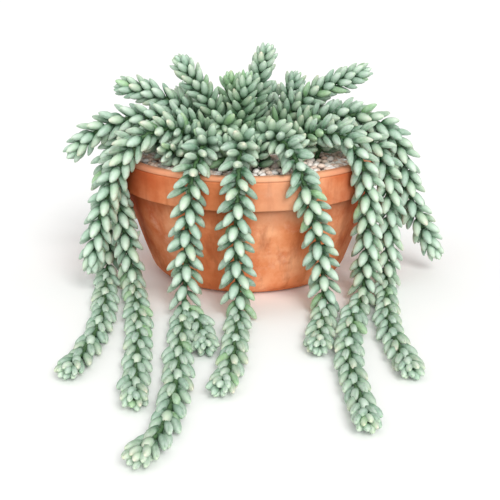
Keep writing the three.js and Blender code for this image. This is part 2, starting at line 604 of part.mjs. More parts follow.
function grow(owner, line, random) {
  const rings = ringsOf(line, random);
  const bud = line.curve.getPointAt(1).addScaledVector(line.curve.getTangentAt(1), BUD_LENGTH);
  const core = surfaceThrough(rings, [], bud);
  const own = [];
  rings.forEach(({ centre, tangent, corners: upper, whorl }, ring) => {
    if (!whorl) return;
    const lower = rings[ring - 1].corners;
    for (let i = 0; i < STEM_SIDES; i += 1) {
      const next = (i + 1) % STEM_SIDES;
      const outward = new THREE.Vector3().addVectors(upper[i], upper[next]).multiplyScalar(0.5).sub(centre);
      outward.normalize();
      const grownLean = lerp(line.open ? OPEN_LEAN : LEAF_LEAN, LYING_LEAN, whorl.lying);
      const spread = lerp(1 - LEAN_SPREAD, 1 + LEAN_SPREAD, random());
      const lean = lerp(grownLean, TIP_LEAN, whorl.young ** 2) * spread;
      const size = lerp(...SIZE_SPREAD, random());
      const share = lerp(1, TIP_SHARE, whorl.young ** 2) * size;
      const widthShare = lerp(1, TIP_WIDTH_SHARE, whorl.young) * size;
      const wanted = tangent.clone().multiplyScalar(Math.cos(lean)).addScaledVector(outward, Math.sin(lean));
      wanted.z -= LYING_DROOP * whorl.lying;
      wanted.normalize();
      const leaf = settled(owner, core, [lower[i], lower[next], upper[next], upper[i]],
        wanted, tangent, share, widthShare);
      if (!leaf) continue;
      own.push({ ...leaf, ring, side: i });
      grownLeaves.push(leaf);
      ballsOf(leaf).forEach(({ centre: at, radius }) => keepBall(owner, at, radius));
    }
  });
  return surfaceThrough(rings, own, bud);
}

// The largest body of each joined stem is kept, which fills any hollow that a branch closes off.
function stems() {
  const all = STEMS.map((stem) => ({ stem, lines: stemLines(stem) }));
  for (const { stem, lines } of all) lines.forEach((line) => keepCore(stem.name, line));
  return all.map(({ stem, lines }, i) => {
    const random = seededRandom(STEM_SEED + SEED_STEP * i);
    const grown = Manifold.union(lines.map((line) => grow(stem.name, line, random)));
    const bodies = grown.decompose().sort((a, b) => b.volume() - a.volume());
    return meshOf(stem.name, bodies[0], LEAF);
  });
}

const holes = footHoles();
const plant = new THREE.Group();
plant.add(meshOf("pot", pot(), CLAY));
plant.add(meshOf("potting_soil", soil(holes), SOIL));
plant.add(meshOf("pebble_layer", pebbles(holes), STONE));
plant.add(...stems());

export default plant;
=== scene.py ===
import bisect
import math
import random

import bmesh
import bpy
from mathutils import Matrix, Vector, noise
from mathutils.bvhtree import BVHTree
from mathutils.geometry import interpolate_bezier


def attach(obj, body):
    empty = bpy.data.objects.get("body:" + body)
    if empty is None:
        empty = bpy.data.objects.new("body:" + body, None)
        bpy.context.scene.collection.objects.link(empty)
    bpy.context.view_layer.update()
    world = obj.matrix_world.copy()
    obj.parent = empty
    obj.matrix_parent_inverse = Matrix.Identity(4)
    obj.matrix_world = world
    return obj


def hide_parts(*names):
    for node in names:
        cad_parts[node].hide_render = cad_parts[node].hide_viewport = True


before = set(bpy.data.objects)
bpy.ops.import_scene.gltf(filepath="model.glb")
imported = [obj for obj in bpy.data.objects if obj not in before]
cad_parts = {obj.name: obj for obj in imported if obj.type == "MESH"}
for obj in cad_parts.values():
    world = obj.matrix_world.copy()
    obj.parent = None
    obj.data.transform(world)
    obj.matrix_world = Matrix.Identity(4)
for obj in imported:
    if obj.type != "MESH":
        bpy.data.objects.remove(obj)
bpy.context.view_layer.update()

# Camera: it looks down on the rim at a shallow angle from in front, so that the mouth of the pot
# is a flat ellipse and the stems that lie on the table show below the pot.
MM = 0.001
CAMERA_PLACE = (0.4 * MM, -1138.7 * MM, 373.6 * MM)
CAMERA_DIP = math.radians(17.36)
CAMERA_TURN = math.radians(-0.075)
CAMERA_LENS = 84.87
CAMERA_SENSOR = 36

scene = bpy.context.scene
camera_data = bpy.data.cameras.new("camera")
camera_data.sensor_fit = "HORIZONTAL"
camera_data.sensor_width = CAMERA_SENSOR
camera_data.lens = CAMERA_LENS
camera = bpy.data.objects.new("camera", camera_data)
camera.location = CAMERA_PLACE
camera.rotation_euler = (math.pi / 2 - CAMERA_DIP, 0, CAMERA_TURN)
scene.collection.objects.link(camera)
scene.camera = camera

# Table and light: a plain pale table top that runs out of sight, a soft light high in front on the
# right, a lower one from the front, a weak broad one on the left and a white room all round.
TABLE_RADIUS = 40
TABLE_SEGMENTS = 96
TABLE_COLOUR = (0.93, 0.93, 0.92, 1)
ROOM_COLOUR = (1, 1, 1, 1)
ROOM_STRENGTH = 0.72
LIGHTS = {
    "key_light": {"from": (0.55, -1.5, 1.25), "softness": 25, "strength": 1.65},
    "fill_light": {"from": (-1.5, -0.8, 0.9), "softness": 60, "strength": 0.2},
    "front_light": {"from": (0.15, -1.5, 0.5), "softness": 30, "strength": 1.0},
}


def plain_material(name, roughness, specular):
    """A new material and its shader."""
    material = bpy.data.materials.new(name)
    material.use_nodes = True
    shader = material.node_tree.nodes["Principled BSDF"]
    shader.inputs["Roughness"].default_value = roughness
    shader.inputs["Specular IOR Level"].default_value = specular
    return material, shader


table_material, table_shader = plain_material("pale_table", roughness=0.9, specular=0.2)
table_shader.inputs["Base Color"].default_value = TABLE_COLOUR
table_mesh = bpy.data.meshes.new("table")
table = bmesh.new()
bmesh.ops.create_circle(table, cap_ends=True, segments=TABLE_SEGMENTS, radius=TABLE_RADIUS)
table.to_mesh(table_mesh)
table.free()
table_mesh.materials.append(table_material)
table_top = bpy.data.objects.new("table", table_mesh)
scene.collection.objects.link(table_top)

room = bpy.data.worlds.new("room")
room.use_nodes = True
room.node_tree.nodes["Background"].inputs["Color"].default_value = ROOM_COLOUR
room.node_tree.nodes["Background"].inputs["Strength"].default_value = ROOM_STRENGTH
scene.world = room
scene.view_settings.view_transform = "Standard"

for name, light in LIGHTS.items():
    lamp = bpy.data.lights.new(name, "SUN")
    lamp.angle = math.radians(light["softness"])
    lamp.energy = light["strength"]
    holder = bpy.data.objects.new(name, lamp)
    holder.location = light["from"]
    holder.rotation_euler = (-Vector(light["from"])).to_track_quat("-Z", "Y").to_euler()
    scene.collection.objects.link(holder)

# Pot: a low bulb pan pressed from red clay and fired without a glaze. Its wall curves in to a
# narrow foot, a deep plain band stiffens the mouth, and three holes in its floor let water out.
POT_HEIGHT = 124 * MM
RIM_RADIUS = 127 * MM
MOUTH_RADIUS = 118 * MM
MOUTH_ROUNDING = 2.2 * MM
RIM_BAND = 32 * MM
RIM_STEP = 5.5 * MM
BAND_CREASE = 0.8 * MM
BAND_EDGE = 1.6 * MM
BAND_DRAFT = 0.6 * MM
LIP_ROUNDING = 3 * MM
LIP_LINE = 4.8 * MM
LIP_LINE_DEPTH = 0.6 * MM
LIP_LINE_BELOW = 1.2 * MM
LIP_LINE_ABOVE = 1.0 * MM
LIP_LINE_EDGE = 0.4 * MM
LIP_LINE_BOTTOM = 0.3 * MM
HEEL_RADIUS = 91 * MM
HEEL_ROUNDING = 16 * MM
BELLY_OUT = 3 * MM
BELLY_UP = 6 * MM
BELLY_ROUNDING = 26 * MM
WALL_BULGE = 1.5 * MM
WALL = 9 * MM
INNER_ROUNDING = 8 * MM
INNER_HEEL_IN = 6 * MM
INNER_HEEL_UP = 10 * MM
FLOOR_THICKNESS = 10 * MM
FLOOR_RADIUS = 75 * MM
FLOOR_ROUNDING = 4 * MM
DRAIN_HOLE_RADIUS = 6 * MM
DRAIN_HOLE_CIRCLE = 40 * MM
DRAIN_HOLES = 3
DRAIN_HOLE_FIRST = math.radians(30)
DRILL_SEGMENTS = 32
DRILL_LENGTH = 4 * FLOOR_THICKNESS
POT_SEGMENTS = 128
CORNER_SEGMENTS = 6
SAME_PLACE = 1e-6

# Where the marks on the clay, its painted shade and its painted highlights are and how far they reach.
# Clouds, grain, streaks and rings are scales of a pattern: the larger, the finer it is.
SIDE_SHADE_CENTRE = 5 * MM
SIDE_SHADE_FROM = 80 * MM
SIDE_SHADE_TO = 122 * MM
SIDE_SHADE_WAVER = 34 * MM
SIDE_SHADE_LOW = 20 * MM
SIDE_SHADE_HIGH = 85 * MM
PAINTED_HIGHLIGHT_CENTRE = (32 * MM, -122 * MM, 106 * MM)
PAINTED_HIGHLIGHT_REACH = 42 * MM
UNDER_BAND_SHADE_REACH = 22 * MM
BAND_SHADE = 0.3
BAND_BLUR = 0.4 * MM
LIP_HIGHLIGHT = 0.35
LIP_BLUR = 0.8 * MM
FIRED_CLOUDS = 21
RUDDY_CLOUDS = 46
SIDE_SHADE_CLOUDS = 26
LIME_CLOUDS = 24
CLAY_GRAIN = 180
CLAY_FINE_GRAIN = 1300
STREAKS = (62, 62, 8)
TURNING_RINGS = 62

# The outline's corners, each a radius, a height and a rounding, from the middle of the foot round
# the heel, belly, band and lip, and then down the inside to the middle of the floor.
under_band = POT_HEIGHT - RIM_BAND
wall_top = RIM_RADIUS - RIM_STEP
lip_line = POT_HEIGHT - LIP_LINE
belly_radius = (HEEL_RADIUS + wall_top) / 2 + BELLY_OUT + WALL_BULGE
outside = [
    (0, 0, 0),
    (HEEL_RADIUS, 0, HEEL_ROUNDING),
    (belly_radius, under_band / 2 + BELLY_UP, BELLY_ROUNDING),
    (wall_top, under_band, BAND_CREASE),
    (RIM_RADIUS - BAND_DRAFT, under_band, BAND_EDGE),
    (RIM_RADIUS, lip_line - LIP_LINE_BELOW, LIP_LINE_EDGE),
    (RIM_RADIUS - LIP_LINE_DEPTH, lip_line, LIP_LINE_BOTTOM),
    (RIM_RADIUS, lip_line + LIP_LINE_ABOVE, LIP_LINE_EDGE),
    (RIM_RADIUS, POT_HEIGHT, LIP_ROUNDING),
]
inside = [
    (MOUTH_RADIUS, POT_HEIGHT, MOUTH_ROUNDING),
    (wall_top - WALL, under_band, INNER_ROUNDING),
    (HEEL_RADIUS - INNER_HEEL_IN, FLOOR_THICKNESS + INNER_HEEL_UP, INNER_ROUNDING),
    (FLOOR_RADIUS, FLOOR_THICKNESS, FLOOR_ROUNDING),
    (0, FLOOR_THICKNESS, 0),
]


def turned(shape, corners, segments, marked=()):
    """Turns a line of (radius, height, rounding) corners about Z. The marked ones get 1 as inside."""
    layer = shape.verts.layers.float.new("inside")
    points = [shape.verts.new((radius, 0, height)) for radius, height, _ in corners]
    for point, corner in zip(points, corners):
        point[layer] = 1 if corner in marked else 0
    for pair in zip(points, points[1:]):
        shape.edges.new(pair)
    for point, (_, _, rounding) in zip(points, corners):
        if rounding:
            bmesh.ops.bevel(shape, geom=[point], offset=rounding, segments=CORNER_SEGMENTS, profile=0.5,
                affect="VERTICES", material=-1)
    bmesh.ops.spin(shape, geom=shape.verts[:] + shape.edges[:], cent=(0, 0, 0), axis=(0, 0, 1),
        angle=2 * math.pi, steps=segments, use_merge=True)
    bmesh.ops.remove_doubles(shape, verts=shape.verts, dist=SAME_PLACE)
    bmesh.ops.recalc_face_normals(shape, faces=shape.faces)


def finished(name, shape, materials, replaced):
    """A shape as a piece of the plant that stands for a node of the frame."""
    mesh = bpy.data.meshes.new(name)
    for face in shape.faces:
        face.smooth = True
    shape.to_mesh(mesh)
    shape.free()
    for material in materials:
        mesh.materials.append(material)
    piece = bpy.data.objects.new(name, mesh)
    scene.collection.objects.link(piece)
    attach(piece, "root")
    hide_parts(replaced)
    return piece


def colour(red, green, blue):
    """A colour as it looks on a screen, 0 to 255, in the linear values that a shader takes."""
    linear = []
    for value in (red, green, blue):
        share = value / 255
        linear.append(share / 12.92 if value <= 10 else ((share + 0.055) / 1.055) ** 2.4)
    return (*linear, 1)


def node(material, kind, inputs=None, **settings):
    """A shader node. An input that is another node's socket is linked to it."""
    tree = material.node_tree
    made = tree.nodes.new("ShaderNode" + kind)
    for name, value in settings.items():
        setattr(made, name, value)
    for name, value in (inputs or {}).items():
        if isinstance(value, bpy.types.NodeSocket):
            tree.links.new(value, made.inputs[name])
        else:
            made.inputs[name].default_value = value
    return made


def own_place(material):
    """The place of a point in the piece's own coordinates."""
    return node(material, "TexCoord").outputs["Object"]


def marked_by(material, name):
    """The value that the mesh carries in the attribute of this name."""
    return node(material, "Attribute", attribute_name=name).outputs["Fac"]


def worked_out(material, operation, first, second=0.0):
    """The sum, product or like of one or two values."""
    return node(material, "Math", {0: first, 1: second}, operation=operation).outputs["Value"]


def how_far(material, place, centre):
    """How far a place is from a fixed centre."""
    return node(material, "VectorMath", {0: place, 1: centre}, operation="DISTANCE").outputs["Value"]


def ramp(material, factor, *stops):
    """A colour that runs through the stops, each a place from 0 to 1 and a colour."""
    made = node(material, "ValToRGB", {"Fac": factor})
    elements = made.color_ramp.elements
    for element, (place, value) in zip((elements[0], elements[-1]), (stops[0], stops[-1])):
        element.position = place
        element.color = value
    for place, value in stops[1:-1]:
        elements.new(place).color = value
    return made.outputs["Color"]


def blended(material, factor, first, second, mode="MIX"):
    """Two colours, the second over the first as far as the factor says."""
    made = node(material, "Mix", data_type="RGBA", blend_type=mode)
    for socket, value in zip((made.inputs[0], made.inputs[6], made.inputs[7]), (factor, first, second)):
        if isinstance(value, bpy.types.NodeSocket):
            material.node_tree.links.new(value, socket)
        else:
            socket.default_value = value
    return made.outputs[2]


def ranged(material, value, low, high, to_low=0, to_high=1):
    """A value taken from one range to another, and kept within it."""
    return node(material, "MapRange", {"Value": value, "From Min": low, "From Max": high,
        "To Min": to_low, "To Max": to_high}).outputs["Result"]


def speckle(material, place, scale, detail=3, roughness=0.55, stretch=(1, 1, 1)):
    """Cloudy noise of about 1 / scale metres on the object's own coordinates."""
    spread = node(material, "Mapping", {"Vector": place, "Scale": stretch}).outputs["Vector"]
    return node(material, "TexNoise", {"Vector": spread, "Scale": scale, "Detail": detail,
        "Roughness": roughness}).outputs["Fac"]


def bumped(material, shader, *heights):
    """Puts bumps on a shader, each a height, a strength and a depth in metres."""
    normal = None
    for height, strength, depth in heights:
        inputs = {"Height": height, "Strength": strength, "Distance": depth}
        if normal:
            inputs["Normal"] = normal
        normal = node(material, "Bump", inputs).outputs["Normal"]
    material.node_tree.links.new(normal, shader.inputs["Normal"])


def painted(material, shader, colouring, roughness=None):
    """Gives a shader its colour, and its roughness where that varies too."""
    material.node_tree.links.new(colouring, shader.inputs["Base Color"])
    if roughness:
        material.node_tree.links.new(roughness, shader.inputs["Roughness"])


# The clay is cloudy, with painted shade that darkens it towards the sides. It has streaks and lime bloom,
# a pale painted highlight on the band, painted shade under the band, a dark line of painted shade in the
# groove below the lip, a lip made paler as a painted highlight, and damp on the inside.
terracotta, clay = plain_material("terracotta", roughness=0.9, specular=0.08)
place = own_place(terracotta)
axes = node(terracotta, "SeparateXYZ", {"Vector": place}).outputs
height = axes["Z"]
fired = ramp(terracotta, speckle(terracotta, place, FIRED_CLOUDS, detail=5, roughness=0.6),
    (0.34, colour(204, 116, 70)), (0.5, colour(226, 142, 96)), (0.66, colour(240, 172, 130)))
ruddy_clouds = speckle(terracotta, place, RUDDY_CLOUDS, detail=5, roughness=0.65)
ruddy = blended(terracotta, ranged(terracotta, ruddy_clouds, 0.5, 0.62, to_high=0.4), fired,
    colour(204, 98, 52))
# Painted shade: the clay darkens towards its left and right sides as seen from the front, more so higher
# up the wall.
aside = worked_out(terracotta, "ABSOLUTE", worked_out(terracotta, "SUBTRACT", axes["X"], SIDE_SHADE_CENTRE))
side_shade_clouds = speckle(terracotta, place, SIDE_SHADE_CLOUDS, detail=4)
wavering = worked_out(terracotta, "ADD", ranged(terracotta, side_shade_clouds, 0.3, 0.7, to_high=SIDE_SHADE_WAVER),
    aside)
side_shade = worked_out(terracotta, "MULTIPLY", ranged(terracotta, wavering, SIDE_SHADE_FROM, SIDE_SHADE_TO, to_high=0.9),
    ranged(terracotta, height, SIDE_SHADE_LOW, SIDE_SHADE_HIGH, to_low=0.35))
side_shaded = blended(terracotta, side_shade, ruddy, colour(176, 66, 24))
streak_clouds = speckle(terracotta, place, 1, detail=4, roughness=0.6, stretch=STREAKS)
streaked = blended(terracotta, ranged(terracotta, streak_clouds, 0.52, 0.72, to_high=0.55), side_shaded,
    colour(150, 66, 30))
lime_clouds = speckle(terracotta, place, LIME_CLOUDS, detail=6, roughness=0.65)
lime = ranged(terracotta, lime_clouds, 0.58, 0.72, to_high=0.38)
limed = blended(terracotta, lime, streaked, colour(244, 206, 180))
# Painted highlight: a pale patch on the front of the band, right of the middle.
to_highlight = how_far(terracotta, place, PAINTED_HIGHLIGHT_CENTRE)
highlighted = blended(terracotta, ranged(terracotta, to_highlight, PAINTED_HIGHLIGHT_REACH, 0, to_high=0.5), limed,
    colour(236, 190, 158))
# Painted shade on the wall under the band, darkest right below it.
under_band_shade = ranged(terracotta, height, under_band - UNDER_BAND_SHADE_REACH, under_band, to_high=0.55)
under_band_shaded = blended(terracotta, under_band_shade, highlighted, colour(128, 54, 26))
band = blended(terracotta, BAND_SHADE, highlighted, colour(176, 106, 70))
on_band = ranged(terracotta, height, under_band, under_band + BAND_BLUR)
banded = blended(terracotta, on_band, under_band_shaded, band)
# Painted shade: a dark line in the groove below the lip.
groove_shade = ranged(terracotta, height, lip_line - LIP_BLUR, lip_line, to_high=0.5)
on_lip = ranged(terracotta, height, lip_line, lip_line + LIP_BLUR)
groove_shaded = blended(terracotta, groove_shade, banded, colour(132, 62, 34))
# Painted highlight: the lip above the groove is made paler.
lip_highlighted = blended(terracotta, on_lip, groove_shaded, blended(terracotta, LIP_HIGHLIGHT, band, colour(240, 190, 156)))
soaked = blended(terracotta, marked_by(terracotta, "inside"), lip_highlighted, colour(112, 56, 38))
painted(terracotta, clay, soaked, ranged(terracotta, lime, 0, 0.4, to_low=0.8, to_high=0.95))
rings = node(terracotta, "TexWave", {"Vector": place, "Scale": TURNING_RINGS, "Distortion": 1.5,
    "Detail Scale": 6}, bands_direction="Z").outputs["Fac"]
bumped(terracotta, clay, (rings, 0.12, 0.4 * MM),
    (speckle(terracotta, place, CLAY_GRAIN, detail=5), 0.3, 0.5 * MM),
    (speckle(terracotta, place, CLAY_FINE_GRAIN), 0.25, 0.2 * MM))

pot_shape = bmesh.new()
turned(pot_shape, outside + inside, POT_SEGMENTS, inside[1:])
pot = finished("terracotta_pot", pot_shape, [terracotta], "pot")
drill_shape = bmesh.new()
for hole in range(DRAIN_HOLES):
    angle = DRAIN_HOLE_FIRST + hole * 2 * math.pi / DRAIN_HOLES
    centre = Vector((math.cos(angle), math.sin(angle), 0)) * DRAIN_HOLE_CIRCLE
    bmesh.ops.create_cone(drill_shape, cap_ends=True, segments=DRILL_SEGMENTS, radius1=DRAIN_HOLE_RADIUS,
        radius2=DRAIN_HOLE_RADIUS, depth=DRILL_LENGTH, matrix=Matrix.Translation(centre))
drill_mesh = bpy.data.meshes.new("drill")
drill_shape.to_mesh(drill_mesh)
drill_shape.free()
drill = bpy.data.objects.new("drill", drill_mesh)
scene.collection.objects.link(drill)
cut = pot.modifiers.new("drain_holes", "BOOLEAN")
cut.operation = "DIFFERENCE"
cut.solver = "EXACT"
cut.object = drill
bpy.context.view_layer.update()
cut_mesh = bpy.data.meshes.new_from_object(pot.evaluated_get(bpy.context.evaluated_depsgraph_get()))
pot.modifiers.clear()
pot.data = cut_mesh
bpy.data.objects.remove(drill)

# Potting soil: dark, crumbly peat and grit that fills the pot up to the pebbles. It is the
# frame's own node, and only the drainage holes show it.
PEAT_GRAIN = 420

peat, crumb = plain_material("peat", roughness=0.95, specular=0.2)
grains = speckle(peat, own_place(peat), PEAT_GRAIN, detail=6, roughness=0.7)
painted(peat, crumb, ramp(peat, grains,
    (0.3, colour(38, 26, 20)), (0.55, colour(74, 54, 41)), (0.72, colour(112, 88, 68))))
bumped(peat, crumb, (grains, 0.8, 1.5 * MM))
for material_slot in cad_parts["potting_soil"].material_slots:
    material_slot.material = peat

# Stems: each is slim, green and limp, is rooted in the soil and rises through the pebbles. It then
# stands up, or arches over the rim and hangs, and lies on the table where it is longer than the pot
# is high.

# The points are the frame's own, in millimetres: the foot at the pebbles, the route up to the tip,
# and the branch's own route. The leaves of an open stem stand out further from it.
STEMS = {
    "stem_left_reach": {
        "foot": (-22, -14),
        "route": [(-34, -22, 137), (-56, -28, 153), (-85, -30, 159), (-113, -30, 158),
            (-133, -30, 152), (-151, -30, 141), (-167, -30, 127)],
    },
    "stem_left_fall_short": {
        "foot": (-47, -40),
        "route": [(-52, -52, 142), (-67, -71, 156), (-87, -83, 156), (-103, -87, 146),
            (-115, -87, 130), (-125, -86, 110), (-134, -86, 86), (-141, -86, 61), (-147, -86, 30)],
    },
    "stem_left_fall_long": {
        "foot": (-66, -32),
        "route": [(-74, -40, 134), (-89, -50, 142), (-106, -56, 140), (-118, -59, 130),
            (-125, -61, 112), (-124, -61, 88), (-119, -62, 62), (-114, -64, 34), (-111, -73, 14),
            (-106, -98, 9), (-100, -141, 9), (-94, -194, 9), (-90, -246, 9), (-87, -297, 9),
            (-85, -339, 9)],
    },
    "stem_left_fall_outer": {
        "foot": (-64, 0),
        "route": [(-74, -5, 133), (-91, -12, 142), (-109, -18, 142), (-125, -22, 132),
            (-135, -25, 113), (-138, -27, 88), (-138, -28, 58), (-137, -31, 29), (-137, -44, 12),
            (-136, -66, 9), (-133, -104, 9), (-129, -157, 9), (-130, -212, 9), (-135, -254, 9),
            (-141, -285, 9)],
    },
    "stem_up_left": {
        "foot": (-38, 18),
        "route": [(-42, 15, 138), (-50, 10, 153), (-64, 6, 163), (-86, 5, 173), (-106, 5, 180),
            (-122, 5, 183)],
    },
    "stem_up_tall_left": {
        "foot": (-20, 4),
        "route": [(-23, 2, 133), (-29, 0, 148), (-36, 0, 164), (-46, 0, 179), (-55, 0, 194),
            (-65, 0, 207)],
    },
    "stem_up_tall_centre": {
        "foot": (6, 14),
        "route": [(3, 12, 135), (2, 10, 150), (5, 10, 170), (10, 10, 190), (15, 10, 207),
            (19, 10, 216)],
    },
    "stem_up_centre": {
        "foot": (-4, -20),
        "route": [(-7, -20, 135), (-8, -20, 150), (-7, -20, 167), (-3, -20, 184), (-1, -20, 194)],
    },
    "stem_up_young": {
        "foot": (-16, 34),
        "route": [(-18, 32, 141), (-18, 30, 161), (-17, 28, 176), (-17, 27, 186)],
    },
    "stem_up_right": {
        "foot": (24, 4),
        "route": [(28, 8, 137), (38, 10, 152), (53, 10, 167), (71, 10, 179), (90, 10, 188),
            (112, 10, 196)],
    },
    "stem_up_back_right": {
        "foot": (32, 38),
        "route": [(33, 40, 137), (37, 41, 155), (43, 42, 173), (48, 42, 184)],
    },
    "stem_up_back_centre": {
        "foot": (12, 56),
        "route": [(15, 58, 140), (20, 60, 157), (24, 61, 172)],
    },
    "stem_right_arch": {
        "foot": (36, -20),
        "route": [(42, -18, 135), (53, -15, 148), (70, -16, 156), (90, -19, 160), (110, -20, 158),
            (129, -20, 149), (144, -20, 132), (152, -20, 112), (157, -20, 89), (163, -20, 67),
            (174, -20, 44), (185, -20, 23)],
    },
    "stem_right_fall_long": {
        "foot": (44, -52),
        "route": [(48, -56, 137), (57, -62, 149), (74, -72, 153), (89, -81, 149), (100, -88, 137),
            (107, -91, 118), (110, -91, 93), (111, -91, 64), (110, -92, 34), (108, -101, 14),
            (104, -120, 9), (96, -149, 9), (88, -194, 9), (82, -246, 9), (81, -297, 9), (83, -337, 9),
            (84, -378, 9)],
    },
    "stem_right_fall_outer": {
        "foot": (66, -32),
        "route": [(72, -35, 134), (88, -40, 144), (107, -44, 144), (123, -47, 132), (131, -49, 111),
            (134, -50, 82), (135, -50, 52), (134, -52, 28), (133, -64, 12), (130, -88, 9),
            (125, -139, 9), (122, -189, 9), (124, -239, 9), (128, -284, 9)],
    },
    "stem_right_fall_short": {
        "foot": (64, 14),
        "route": [(72, 13, 135), (88, 10, 148), (105, 7, 152), (122, 5, 145), (136, 4, 126),
            (144, 3, 101), (148, 3, 75), (150, 3, 52)],
    },
    "stem_front_right": {
        "open": True,
        "foot": (16, -44),
        "route": [(17, -52, 138), (19, -68, 149), (25, -86, 152), (34, -103, 148), (42, -117, 139),
            (48, -127, 124), (54, -129, 104), (60, -128, 82), (64, -127, 58), (68, -128, 32),
            (69, -138, 13), (67, -157, 9), (62, -196, 9), (58, -235, 9)],
    },
    "stem_front_centre": {
        "open": True,
        "foot": (-3, -64),
        "route": [(-4, -74, 137), (-5, -92, 148), (-7, -112, 145), (-8, -130, 133), (-9, -138, 116),
            (-10, -139, 94), (-11, -139, 69), (-10, -139, 44), (-9, -142, 22), (-8, -156, 9),
            (-9, -180, 9), (-11, -235, 9), (-14, -277, 9), (-21, -317, 9)],
    },
    "stem_front_left": {
        "open": True,
        "foot": (-29, -62),
        "route": [(-33, -70, 137), (-37, -84, 147), (-42, -102, 144), (-47, -119, 133),
            (-51, -129, 117), (-53, -131, 98), (-55, -130, 73), (-56, -129, 47), (-57, -131, 24),
            (-58, -145, 10), (-57, -189, 9), (-56, -246, 9), (-55, -301, 9), (-56, -346, 9),
            (-60, -388, 9), (-73, -430, 9)],
        "branch": [(-58, -143, 11), (-48, -165, 9), (-40, -198, 9), (-35, -236, 9)],
    },
    "stem_short_left": {
        "open": True,
        "foot": (-59, -62),
        "route": [(-63, -67, 128), (-68, -76, 137), (-73, -87, 140)],
    },
    "stem_short_front": {
        "open": True,
        "foot": (-14, -38),
        "route": [(-17, -43, 140), (-21, -54, 153), (-24, -66, 158), (-26, -78, 158)],
    },
    "stem_short_middle": {
        "open": True,
        "foot": (-19, -80),
        "route": [(-20, -83, 129), (-21, -88, 139), (-22, -94, 146)],
    },
    "stem_short_inner": {
        "open": True,
        "foot": (7, -80),
        "route": [(7, -83, 129), (7, -88, 139), (7, -94, 146)],
    },
    "stem_short_right": {
        "open": True,
        "foot": (34, -74),
        "route": [(36, -77, 129), (40, -82, 138), (45, -88, 145)],
    },
    "stem_back_left": {
        "foot": (-34, 66),
        "route": [(-38, 80, 136), (-44, 98, 144), (-50, 117, 139), (-54, 130, 122), (-55, 134, 95),
            (-55, 134, 60), (-56, 135, 30), (-60, 147, 12), (-70, 172, 9), (-86, 205, 9)],
    },
    "stem_back_centre": {
        "foot": (22, 80),
        "route": [(26, 92, 135), (31, 108, 142), (36, 124, 136), (39, 135, 118), (39, 137, 90),
            (38, 137, 55), (38, 139, 28), (42, 152, 11), (52, 182, 9), (56, 214, 9)],
    },
    "stem_back_right": {
        "foot": (68, 50),
        "route": [(77, 56, 135), (92, 64, 143), (108, 73, 139), (118, 78, 122), (122, 80, 95),
            (122, 80, 60), (122, 81, 30), (130, 90, 12), (154, 110, 9)],
    },
    "stem_back_side": {
        "foot": (-70, 38),
        "route": [(-79, 44, 135), (-94, 54, 142), (-109, 65, 136), (-119, 71, 118), (-121, 73, 92),
            (-121, 73, 62), (-121, 73, 38)],
    },
    "stem_up_back_left": {
        "foot": (-48, 44),
        "route": [(-52, 48, 138), (-58, 54, 154), (-66, 60, 170)],
    },
    "stem_up_side_right": {
        "foot": (58, 44),
        "route": [(61, 45, 137), (66, 46, 153), (73, 47, 170)],
    },
    "stem_up_back": {
        "foot": (-10, 78),
        "route": [(-12, 84, 137), (-13, 92, 152), (-14, 102, 166)],
    },
    "stem_short_back": {
        "open": True,
        "foot": (4, 96),
        "route": [(4, 99, 129), (4, 103, 139), (4, 108, 146)],
    },
    "stem_short_back_left": {
        "open": True,
        "foot": (-62, 78),
        "route": [(-65, 81, 129), (-69, 85, 139), (-74, 90, 145)],
    },
    "stem_short_back_right": {
        "open": True,
        "foot": (50, 88),
        "route": [(52, 91, 129), (55, 96, 139), (59, 101, 145)],
    },
}

STEM_RADIUS = 2.2 * MM
STEM_FOOT = 86 * MM
SOIL_TOP = 106 * MM
STEM_START = 122 * MM
FOOT_STRAIGHT = 4 * MM
STEM_STEP = 4 * MM
STEM_TAPER = 0.35
TIP_REACH = 30 * MM
TIP_STOP = 8 * MM
BUD_REACH = 6 * MM
LEAST_STEPS = 4
LEAST_RINGS = 3
BARK_GRAIN = 420

bark, bark_shader = plain_material("stem_skin", roughness=0.6, specular=0.3)
scars = speckle(bark, own_place(bark), BARK_GRAIN, detail=4)
painted(bark, bark_shader, ramp(bark, scars, (0.35, colour(40, 70, 38)), (0.6, colour(80, 114, 72))))
bumped(bark, bark_shader, (scars, 0.4, 0.4 * MM))


def smooth_line(points):
    """Points about a millimetre apart on a smooth line through the given ones."""
    ends = [2 * points[0] - points[1], *points, 2 * points[-1] - points[-2]]
    line = []
    for before, start, end, after in zip(ends, ends[1:], ends[2:], ends[3:]):
        a, b, c = (math.sqrt((q - p).length) for p, q in ((before, start), (start, end), (end, after)))
        leaving = (start - before) / a - (end - before) / (a + b) + (end - start) / b
        arriving = (end - start) / b - (after - start) / (b + c) + (after - end) / c
        steps = max(LEAST_STEPS, round((end - start).length / MM))
        line += interpolate_bezier(start, start + leaving * b / 3, end - arriving * b / 3, end, steps)[:-1]
    return line + [points[-1]]


class StemLine:
    """A stem's line, with the place and direction at any distance along it."""

    def __init__(self, points, bare):
        self.points = smooth_line(points)
        self.lengths = [0.0]
        for start, end in zip(self.points, self.points[1:]):
            self.lengths.append(self.lengths[-1] + (end - start).length)
        self.total = self.lengths[-1]
        self.bare = bare

    def at(self, along):
        """The place and the direction at a distance along the line, and straight on past its end."""
        i = min(max(bisect.bisect_right(self.lengths, along), 1), len(self.points) - 1)
        start, end = self.points[i - 1], self.points[i]
        direction = (end - start).normalized()
        return start + direction * (along - self.lengths[i - 1]), direction


def stem_lines(stem):
    """The line of a stem from its foot in the soil, and that of its branch if it has one."""
    x, y = (MM * c for c in stem["foot"])
    foot = [Vector((x, y, z)) for z in (STEM_FOOT, SOIL_TOP, STEM_START - FOOT_STRAIGHT, STEM_START)]
    route = [Vector(point) * MM for point in stem["route"]]
    lines = [StemLine(foot + route, STEM_START - STEM_FOOT)]
    if "branch" in stem:
        lines.append(StemLine([Vector(point) * MM for point in stem["branch"]], 0))
    return lines


